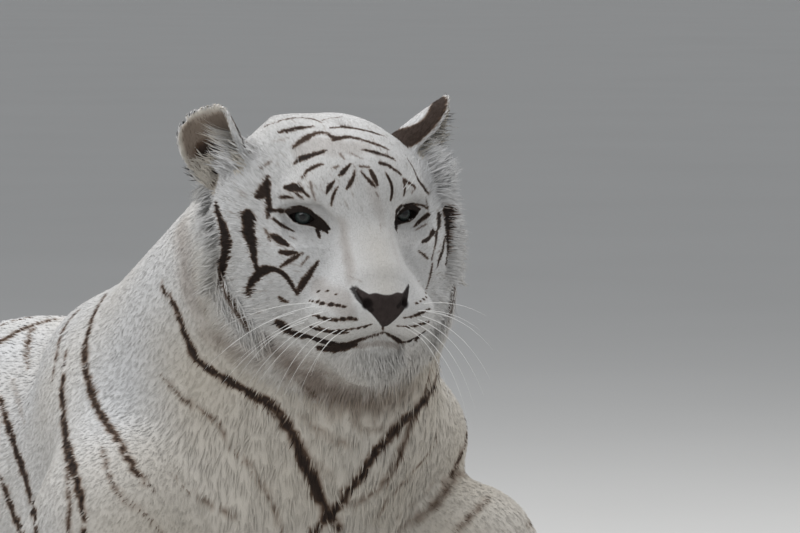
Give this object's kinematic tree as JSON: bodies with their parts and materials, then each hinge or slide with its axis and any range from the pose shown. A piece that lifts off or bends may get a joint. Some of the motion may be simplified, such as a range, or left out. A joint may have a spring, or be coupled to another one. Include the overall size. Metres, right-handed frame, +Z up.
{
  "type": "white tiger",
  "caption": "Still, life-size white tiger lying with its head raised, in black-brown stripes on a pale coat.",
  "frame": {"origin": "centre of the footprint, on the floor the animal lies on", "axes": "+X toward the head along the body, +Y toward the animal's own left side, +Z up"},
  "size_m": [2.2226, 0.756, 0.8036],
  "materials": {
    "coat": "short dense fur, white with brown-black stripes",
    "eye": "wet, glossy",
    "nose": "damp skin"
  },
  "bodies": {
    "root": {"trunk_chest": "coat", "trunk_loin": "coat", "trunk_rump": "coat", "neck": "coat", "head": "coat", "lower_jaw": "coat", "nose": "nose", "ear_right": "coat", "ear_left": "coat", "eye_right": "eye", "eye_left": "eye", "upper_arm_right": "coat", "forearm_right": "coat", "forepaw_right": "coat", "upper_arm_left": "coat", "forearm_left": "coat", "forepaw_left": "coat", "thigh_right": "coat", "hind_foot_right": "coat", "hind_paw_right": "coat", "thigh_left": "coat", "hind_foot_left": "coat", "hind_paw_left": "coat", "tail_1": "coat", "tail_2": "coat", "tail_3": "coat", "tail_4": "coat"}
  },
  "joints": []
}
